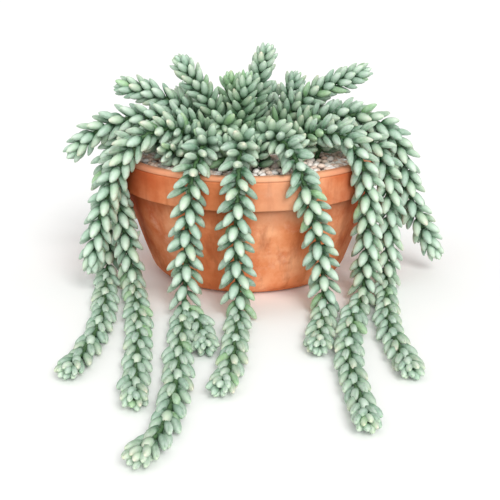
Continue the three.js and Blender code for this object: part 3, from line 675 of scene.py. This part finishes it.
def stem_tube(line):
    """A stem's own slim tube, from its foot up to its last leaves, where it tapers."""
    curve = bpy.data.curves.new("stem_line", "CURVE")
    curve.dimensions = "3D"
    curve.bevel_depth = STEM_RADIUS
    curve.bevel_resolution = 1
    curve.use_fill_caps = True
    end = line.total - TIP_STOP + BUD_REACH
    steps = max(LEAST_RINGS, round(end / STEM_STEP))
    spline = curve.splines.new("POLY")
    spline.points.add(steps)
    for i, point in enumerate(spline.points):
        centre, _ = line.at(end * i / steps)
        point.co = (*centre, 1)
        point.radius = 1 - STEM_TAPER * max(0, 1 - end * (1 - i / steps) / TIP_REACH)
    holder = bpy.data.objects.new("stem_line", curve)
    mesh = bpy.data.meshes.new_from_object(holder)
    bpy.data.objects.remove(holder)
    bpy.data.curves.remove(curve)
    return mesh


lines = {name: stem_lines(stem) for name, stem in STEMS.items()}

# Pebbles: a top dressing of rounded, pinkish beige stones, 7 to 9 mm long, raked level on a bed of dark
# grit, whose dark colour is also painted shade in the gaps between the stones. They lie a little heaped in
# the middle, and at the wall about 4 mm below the lip.
PEBBLE_TOP = 121.5 * MM
PEBBLE_EDGE = 119.5 * MM
BED_DEPTH = 3 * MM
BED_BOTTOM = 106.3 * MM
BED_RADIUS = 115.6 * MM
BED_TAPER = 1.6 * MM
BED_ROUNDING = 20 * MM
BED_SEGMENTS = 64
PEBBLE_FIELD = 116 * MM
PEBBLE_RADII = (3.4 * MM, 4.5 * MM)
PEBBLE_SPACING = 7.2 * MM
PEBBLE_ROW = math.cos(math.radians(30))
PEBBLE_SHIFT = 1.2 * MM
PEBBLE_LEAN = 0.5
PEBBLE_SINKING = (0.1, 0.75)
PEBBLE_KINDS = 6
PEBBLE_SEGMENTS = 8
PEBBLE_RINGS = 6
PEBBLE_SHAPE = (1, 0.84, 0.8)
PEBBLE_LUMPS = 0.3
PEBBLE_LUMP_SCALE = 1.1
PEBBLE_LUMP_STEP = 7
PEBBLE_SEED = 29
FOOT_SPACE = 2.6 * MM
VEIN_CLOUDS = 520
STONE_GRAIN = 900
GRIT_GRAIN = 500

stone, stone_shader = plain_material("pebble", roughness=0.7, specular=0.35)
place = own_place(stone)
hues = ramp(stone, marked_by(stone, "tone"), (0.0, colour(232, 196, 176)), (0.3, colour(246, 222, 206)),
    (0.6, colour(252, 238, 228)), (1.0, colour(255, 252, 248)))
veins = ranged(stone, speckle(stone, place, VEIN_CLOUDS, detail=5), 0.5, 0.7, to_high=0.16)
veined = blended(stone, veins, hues, colour(190, 154, 138))
# Painted shade: each stone is darker on its underside and light on top.
underside_shade = ranged(stone, marked_by(stone, "upper"), 0.72, 0.42, to_high=0.85)
painted(stone, stone_shader, blended(stone, underside_shade, veined, colour(84, 66, 56)))
bumped(stone, stone_shader, (speckle(stone, place, STONE_GRAIN, detail=4), 0.35, 0.3 * MM))

# The grit is coloured dark as painted shade in the gaps between the stones.
gap_shade_grit, grit_shader = plain_material("gap_shade_grit", roughness=0.95, specular=0.2)
crumbs = speckle(gap_shade_grit, own_place(gap_shade_grit), GRIT_GRAIN, detail=5, roughness=0.7)
painted(gap_shade_grit, grit_shader, ramp(gap_shade_grit, crumbs, (0.35, colour(84, 66, 56)), (0.7, colour(136, 112, 98))))
bumped(gap_shade_grit, grit_shader, (crumbs, 0.9, 1.2 * MM))


def heap(x, y):
    """The height of the heaped pebbles over a place in the pot."""
    return PEBBLE_EDGE + (PEBBLE_TOP - PEBBLE_EDGE) * (1 - (x * x + y * y) / BED_RADIUS ** 2)


def pebble_of(kind):
    """One kind of uneven stone, with a radius of 1. It carries how high each point of it lies."""
    shape = bmesh.new()
    bmesh.ops.create_uvsphere(shape, u_segments=PEBBLE_SEGMENTS, v_segments=PEBBLE_RINGS, radius=1)
    upper_layer = shape.verts.layers.float.new("upper")
    own_lumps = Vector((kind * PEBBLE_LUMP_STEP, 3, 1))
    for vert in shape.verts:
        vert[upper_layer] = (vert.co.z + 1) / 2
        vert.co *= 1 + PEBBLE_LUMPS * noise.noise(vert.co * PEBBLE_LUMP_SCALE + own_lumps)
    bmesh.ops.scale(shape, verts=shape.verts, vec=PEBBLE_SHAPE)
    mesh = bpy.data.meshes.new("pebble")
    shape.to_mesh(mesh)
    shape.free()
    mesh.attributes.new("tone", "FLOAT", "POINT")
    for polygon in mesh.polygons:
        polygon.material_index = 1
    return mesh


def mark(mesh, name, value):
    """Writes one value to all points of a mesh, in the attribute of this name."""
    mesh.attributes[name].data.foreach_set("value", [value] * len(mesh.vertices))


pebble_kinds = [pebble_of(kind) for kind in range(PEBBLE_KINDS)]
feet = [Vector((*stem["foot"], 0)) * MM for stem in STEMS.values()]
pebble_field = bmesh.new()
turned(pebble_field, [
    (0, BED_BOTTOM, 0),
    (BED_RADIUS - BED_TAPER, BED_BOTTOM, 0),
    (BED_RADIUS, PEBBLE_EDGE - BED_DEPTH, 0),
    (BED_RADIUS / 2, heap(BED_RADIUS / 2, 0) - BED_DEPTH, BED_ROUNDING),
    (0, PEBBLE_TOP - BED_DEPTH, 0),
], BED_SEGMENTS)
random.seed(PEBBLE_SEED)
rows = math.ceil(PEBBLE_FIELD / PEBBLE_SPACING / PEBBLE_ROW)
for row in range(-rows, rows + 1):
    for column in range(-rows, rows + 1):
        radius = random.uniform(*PEBBLE_RADII)
        shift_x = random.uniform(-PEBBLE_SHIFT, PEBBLE_SHIFT)
        shift_y = random.uniform(-PEBBLE_SHIFT, PEBBLE_SHIFT)
        spot = Vector((column + row % 2 / 2, row * PEBBLE_ROW, 0)) * PEBBLE_SPACING
        spot += Vector((shift_x, shift_y, 0))
        if spot.length > PEBBLE_FIELD - radius:
            continue
        if any((spot - foot).length < radius + FOOT_SPACE for foot in feet):
            continue
        pebble = random.choice(pebble_kinds).copy()
        turn = Matrix.Rotation(random.uniform(0, 2 * math.pi), 4, "Z")
        lean = Matrix.Rotation(random.uniform(-PEBBLE_LEAN, PEBBLE_LEAN), 4, "X")
        level = heap(spot.x, spot.y) - radius * random.uniform(*PEBBLE_SINKING)
        laid = Matrix.Translation(spot + Vector((0, 0, level)))
        pebble.transform(laid @ turn @ lean @ Matrix.Scale(radius, 4))
        mark(pebble, "tone", random.random())
        pebble_field.from_mesh(pebble)
        bpy.data.meshes.remove(pebble)
finished("pebbles", pebble_field, [gap_shade_grit, stone], "pebble_layer")

# Leaves: plump, pointed and a little curved towards the stem's tip, set one by one in a spiral and a
# little flattened where they rest on the table. Their skin is pale blue green under a powdery bloom and
# blushed at the point. Painted shade darkens each leaf's base and side margins, and the leaves low in the
# crown, where less light falls.
LEAF_LENGTH = 20.5 * MM
LEAF_WIDTH = 9.5 * MM
LEAF_THICKNESS = 6.8 * MM
LEAF_THICK_ABOVE = 0.42
LEAF_THICK_BELOW = 0.58
LEAF_CURVE = 0.13
LEAF_MIDDLE = 1.06
LEAF_BLUNTNESS = 0.62
LEAF_SEGMENTS = 8
LEAF_RINGS = 7
LEAF_TURN = math.radians(137.5)
FIRST_SIDE = (0.3, 1, 0.1)
BARE_FOOT = 4 * MM
SUNK = 1.2 * MM

# A pitch is the way along the stem from one leaf to the next, and a lean the angle between a leaf and
# its stem. A share is a leaf's size, and a width its breadth, beside those of a full leaf.
RISING_PITCH = 1.75 * MM
RISING_LEAN = math.radians(49)
RISING_SHARE = 0.92
RISING_WIDTH = 0.9
HANGING_PITCH = 2.6 * MM
HANGING_LEAN = math.radians(51)
OPEN_PITCH = 2.5 * MM
OPEN_RISING_LEAN = math.radians(72)
OPEN_LEAN = math.radians(60)
OLD_LEAN = math.radians(66)
OLD_REACH = 80 * MM
LYING_PITCH = 3.6 * MM
LYING_LEAN = math.radians(42)
LYING_SHARE = 1.02
LYING_FLAT = 0.5
LYING_DIP = 0.28
LYING_BELOW = 30 * MM
LYING_FROM = 12 * MM
TIP_PITCH = 1.3 * MM
TIP_LEAN = math.radians(30)
RISING_TIP_LEAN = math.radians(38)
OPEN_TIP_LEAN = math.radians(44)
LYING_TIP_LEAN = math.radians(38)
TIP_SHARE = 0.84
RISING_TIP_SHARE = 0.92
TIP_WIDTH = 0.88
SHORT_STEM = 80 * MM
SHORT_TIP_PITCH = 2.2 * MM
SHORT_TIP_REACH = 14 * MM
BUD_PITCH = 0.9 * MM
BUD_LEAN = math.radians(10)
BUD_SHARE = 0.6
WIDE_BUD_LEAN = math.radians(24)
WIDE_BUD_SHARE = 0.82
LEAN_SPREAD = (0.88, 1.12)
SHARE_SPREAD = (0.9, 1.08)
RISING_SLOPE = 0.5
FALLING_SLOPE = -0.33
FRESH_STEM = "stem_up_young"
FRESH_SHARE = 0.04

# While leaves are fitted, balls stand for them: each has its place along the leaf, and its radius as
# a part of the leaf's half width. A leaf that finds no room is turned, drawn closer and made smaller.
LEAF_BALLS = ((0.3, 0.74), (0.5, 0.84), (0.68, 0.66), (0.84, 0.36), (0.97, 0.1))
FITTING_SIZES = ((1, 0), (0.9, 0.5), (0.8, 1), (0.7, 0), (0.62, 1))
FITTING_TURNS = 14
FITTING_PUSH = 1.15
FITTING_EXTRA = 0.05 * MM
CLEARANCE = 0.15 * MM
LEAST_OUTWARD = 0.3
TURN_BACK = 0.3
CELL = 16 * MM
STEM_BALL_STEP = 2 * MM
TIP_ROOM = 7.5 * MM

CROWN_SHADE_CENTRE = (0, -28 * MM, 112 * MM)
CROWN_SHADE_CORE = 44 * MM
CROWN_SHADE_REACH = 100 * MM
MARGIN_SHADE_POWER = 3.0
POINT_POWER = 9.0
BLOOM_CLOUDS = 260
SKIN_GRAIN = 700
SKIN_GLOW = 0.12
SKIN_GLOW_RADIUS = (0.4, 0.8, 0.4)
SKIN_GLOW_SCALE = 4 * MM

skin, leaf_shader = plain_material("leaf_skin", roughness=0.52, specular=0.35)
place = own_place(skin)
along = marked_by(skin, "along")
tone = marked_by(skin, "tone")
# The leaf's own pale colour towards the tip, with painted shade darkening its base.
flesh_and_base_shade = ramp(skin, along, (0.0, colour(26, 58, 34)), (0.25, colour(70, 110, 78)),
    (0.48, colour(168, 195, 172)), (0.85, colour(205, 221, 205)), (1.0, colour(190, 206, 182)))
tones = ramp(skin, tone, (0.0, colour(176, 206, 198)), (0.5, colour(255, 255, 255)),
    (1.0, colour(236, 238, 208)))
varied = blended(skin, 0.5, flesh_and_base_shade, tones, "MULTIPLY")
freshness = ranged(skin, marked_by(skin, "fresh"), 0, 1, to_high=0.6)
greened = blended(skin, freshness, varied, colour(158, 200, 136))
# Painted shade along each leaf's side margins.
margin_shade = worked_out(skin, "POWER", marked_by(skin, "across"), MARGIN_SHADE_POWER)
margin_shaded = blended(skin, ranged(skin, margin_shade, 0, 1, to_high=0.6), greened, colour(66, 108, 78))
point = worked_out(skin, "POWER", along, POINT_POWER)
blush = worked_out(skin, "MULTIPLY", point, ranged(skin, tone, 0.7, 1, to_high=0.6))
tipped = blended(skin, blush, margin_shaded, colour(236, 214, 202))
bloom = ranged(skin, speckle(skin, place, BLOOM_CLOUDS, detail=4), 0.42, 0.68, to_high=0.28)
powdered = blended(skin, bloom, tipped, colour(212, 225, 216))
# Painted shade: leaves low in the crown, near its centre, are darker and greener.
from_crown = how_far(skin, place, CROWN_SHADE_CENTRE)
crown_shade = ranged(skin, from_crown, CROWN_SHADE_REACH, CROWN_SHADE_CORE, to_high=0.7)
shaded = blended(skin, crown_shade, powdered, colour(146, 184, 142), "MULTIPLY")
painted(skin, leaf_shader, shaded, ranged(skin, bloom, 0, 0.3, to_low=0.46, to_high=0.66))
leaf_shader.inputs["Subsurface Weight"].default_value = SKIN_GLOW
leaf_shader.inputs["Subsurface Radius"].default_value = SKIN_GLOW_RADIUS
leaf_shader.inputs["Subsurface Scale"].default_value = SKIN_GLOW_SCALE
bumped(skin, leaf_shader, (speckle(skin, place, SKIN_GRAIN), 0.12, 0.2 * MM))

leaf_shape = bmesh.new()
bmesh.ops.create_uvsphere(leaf_shape, u_segments=LEAF_SEGMENTS, v_segments=LEAF_RINGS, radius=1)
along_layer = leaf_shape.verts.layers.float.new("along")
across_layer = leaf_shape.verts.layers.float.new("across")
for vert in leaf_shape.verts:
    t = (vert.co.z + 1) / 2
    ring = max(math.hypot(vert.co.x, vert.co.y), SAME_PLACE)
    girth = (1 - (2 * t ** LEAF_MIDDLE - 1) ** 2) ** LEAF_BLUNTNESS / ring
    vert[along_layer] = t
    vert[across_layer] = abs(vert.co.x) / ring
    thickness = LEAF_THICKNESS * (LEAF_THICK_ABOVE if vert.co.y > 0 else LEAF_THICK_BELOW)
    vert.co = (vert.co.x * girth * LEAF_WIDTH / 2,
        vert.co.y * girth * thickness + LEAF_CURVE * LEAF_LENGTH * t * t, t * LEAF_LENGTH)
leaf_mesh = bpy.data.meshes.new("leaf")
leaf_shape.to_mesh(leaf_mesh)
leaf_shape.free()
leaf_mesh.attributes.new("tone", "FLOAT", "POINT")
leaf_mesh.attributes.new("fresh", "FLOAT", "POINT")

pot_tree = BVHTree.FromPolygons([v.co for v in pot.data.vertices], [p.vertices for p in pot.data.polygons])
balls = {}


def cell_of(centre):
    """The cell of the space round the plant that a point is in."""
    return tuple(math.floor(c / CELL) for c in centre)


def keep_ball(owner, centre, radius):
    """Remembers a ball of a placed stem or leaf by the cell that its centre is in."""
    balls.setdefault(cell_of(centre), []).append((owner, centre, radius))


def balls_near(centre):
    """The balls in the cells round a point."""
    x, y, z = cell_of(centre)
    for i in (x - 1, x, x + 1):
        for j in (y - 1, y, y + 1):
            for k in (z - 1, z, z + 1):
                yield from balls.get((i, j, k), ())


def deepest(owner, centre, radius):
    """How deep a ball is in the table, the pebbles, the pot or another stem, and the way out."""
    depth, out = radius + CLEARANCE - centre.z, Vector((0, 0, 1))
    if math.hypot(centre.x, centre.y) < MOUTH_RADIUS:
        depth = max(depth, heap(centre.x, centre.y) + radius - centre.z)
    wall, normal, _, to_wall = pot_tree.find_nearest(centre)
    within = (centre - wall).dot(normal) < 0
    in_pot = radius + CLEARANCE + (to_wall if within else -to_wall)
    if in_pot > depth:
        depth, out = in_pot, normal if within or to_wall < SAME_PLACE else (centre - wall) / to_wall
    for other, other_centre, other_radius in balls_near(centre):
        if other == owner:
            continue
        apart = centre - other_centre
        in_other = radius + other_radius + CLEARANCE - apart.length
        if in_other > depth:
            depth, out = in_other, apart.normalized()
    return depth, out


def leaf_balls(root, direction, up, size, width):
    """The balls that stand for a leaf while others are fitted round it."""
    return [(root + direction * (t * LEAF_LENGTH * size) + up * (LEAF_CURVE * t * t * LEAF_LENGTH * size),
        LEAF_WIDTH / 2 * share * width) for t, share in LEAF_BALLS]


def upper_side(direction, tangent):
    """The way that a leaf's upper face looks, towards the stem's tip."""
    return (tangent - direction * tangent.dot(direction)).normalized()


def settled(owner, root, wanted, outward, tangent, size, width):
    """A leaf's direction, upper side and size once it is clear of all else, or None without room."""
    for smaller, closer in FITTING_SIZES:
        direction = (wanted + tangent * closer).normalized()
        for _ in range(FITTING_TURNS):
            up = upper_side(direction, tangent)
            hits = [(*deepest(owner, centre, radius), centre)
                for centre, radius in leaf_balls(root, direction, up, size * smaller, width * smaller)]
            depth, out, centre = max(hits, key=lambda hit: hit[0])
            if depth <= 0:
                return direction, up, smaller
            moved = centre + out * (depth * FITTING_PUSH + FITTING_EXTRA)
            direction = (moved - root).normalized()
            if direction.dot(outward) < LEAST_OUTWARD:
                direction = (direction + outward * TURN_BACK).normalized()
    return None


def share_of(value, start, end):
    """How far a value has come from the start to the end, from 0 to 1."""
    return min(1, max(0, (value - start) / (end - start)))


def mixed(first, second, share):
    """A value that is the share of the way from the first to the second."""
    return first + (second - first) * share


def lean_of(is_open, hanging, lying, old, young, wide_bud, bud):
    """The lean of a leaf by the way that its stem runs there, its age and how near the bud it is."""
    if is_open:
        lean = mixed(OPEN_RISING_LEAN, OPEN_LEAN, hanging)
        tip_lean = OPEN_TIP_LEAN
    else:
        lean = mixed(mixed(RISING_LEAN, HANGING_LEAN, hanging), OLD_LEAN, old)
        tip_lean = mixed(RISING_TIP_LEAN, TIP_LEAN, hanging)
    lean = mixed(lean, LYING_LEAN, lying)
    lean = mixed(lean, mixed(tip_lean, LYING_TIP_LEAN, lying), young ** 2)
    return mixed(lean, mixed(BUD_LEAN, WIDE_BUD_LEAN, wide_bud), bud)


def grown_leaf(root, direction, up, size, width, smaller):
    """A leaf's mesh in its place, flattened where it would reach into the table."""
    sides = Matrix((direction.cross(up) * -width, up * width, direction * size)).transposed()
    leaf = leaf_mesh.copy()
    leaf.transform(Matrix.Translation(root) @ (sides * smaller).to_4x4())
    for vert in leaf.vertices:
        vert.co.z = max(vert.co.z, CLEARANCE)
    return leaf


def leaves_of(name, line, is_open):
    """The leaves of a line as meshes, in a spiral up to its tip."""
    grown = []
    is_short = is_open and line.total - line.bare < SHORT_STEM
    tip_reach, tip_pitch = (SHORT_TIP_REACH, SHORT_TIP_PITCH) if is_short else (TIP_REACH, TIP_PITCH)
    bud_start = line.total - TIP_STOP
    bud_end = line.total - TIP_STOP + BUD_REACH
    side = Vector(FIRST_SIDE)
    turn = random.uniform(0, 2 * math.pi)
    along = line.bare + BARE_FOOT
    while along < bud_end:
        centre, tangent = line.at(along)
        side = (side - tangent * side.dot(tangent)).normalized()
        turn += LEAF_TURN
        outward = Matrix.Rotation(turn, 3, tangent) @ side
        hanging = share_of(tangent.z, RISING_SLOPE, FALLING_SLOPE)
        lying = share_of(centre.z, LYING_BELOW, LYING_FROM)
        old = share_of(along, line.bare + OLD_REACH, line.bare)
        young = share_of(along, bud_start - tip_reach, bud_start)
        bud = share_of(along, bud_start, bud_end)
        wide_bud = 1 if is_short else lying
        lean = lean_of(is_open, hanging, lying, old, young, wide_bud, bud) * random.uniform(*LEAN_SPREAD)
        bud_share = mixed(1, mixed(BUD_SHARE, WIDE_BUD_SHARE, wide_bud), bud)
        size = mixed(1, mixed(RISING_TIP_SHARE, TIP_SHARE, hanging), young ** 2)
        size *= mixed(RISING_SHARE, 1, hanging) * bud_share * random.uniform(*SHARE_SPREAD)
        size *= mixed(1, LYING_SHARE, lying)
        width = mixed(RISING_WIDTH, 1, hanging) * mixed(1, TIP_WIDTH, young) * bud_share
        root = centre + outward * (STEM_RADIUS - SUNK)
        wanted = tangent * math.cos(lean) + outward * math.sin(lean)
        wanted.z = mixed(wanted.z, wanted.z * LYING_FLAT - LYING_DIP * (1 - young), lying)
        wanted.normalize()
        fitted = settled(name, root, wanted, outward, tangent, size, width)
        if fitted:
            direction, up, smaller = fitted
            leaf = grown_leaf(root, direction, up, size, width, smaller)
            mark(leaf, "tone", random.random())
            mark(leaf, "fresh", young if name == FRESH_STEM else float(random.random() < FRESH_SHARE))
            grown.append(leaf)
            for ball in leaf_balls(root, direction, up, size * smaller, width * smaller):
                keep_ball(name, *ball)
        pitch = mixed(RISING_PITCH, OPEN_PITCH if is_open else HANGING_PITCH, hanging)
        along += mixed(mixed(mixed(pitch, LYING_PITCH, lying), tip_pitch, young), BUD_PITCH, bud)
    return grown


for name, stem in lines.items():
    for line in stem:
        for step in range(round((line.total + TIP_ROOM) / STEM_BALL_STEP)):
            keep_ball(name, line.at(step * STEM_BALL_STEP)[0], STEM_RADIUS)

for name, stem in lines.items():
    random.seed(name)
    grown = bmesh.new()
    for line in stem:
        leaves = leaves_of(name, line, STEMS[name].get("open", False))
        tube = stem_tube(line)
        for polygon in tube.polygons:
            polygon.material_index = 1
        for mesh in (*leaves, tube):
            grown.from_mesh(mesh)
            bpy.data.meshes.remove(mesh)
    finished(name.replace("stem", "leafy_stem"), grown, [skin, bark], name)
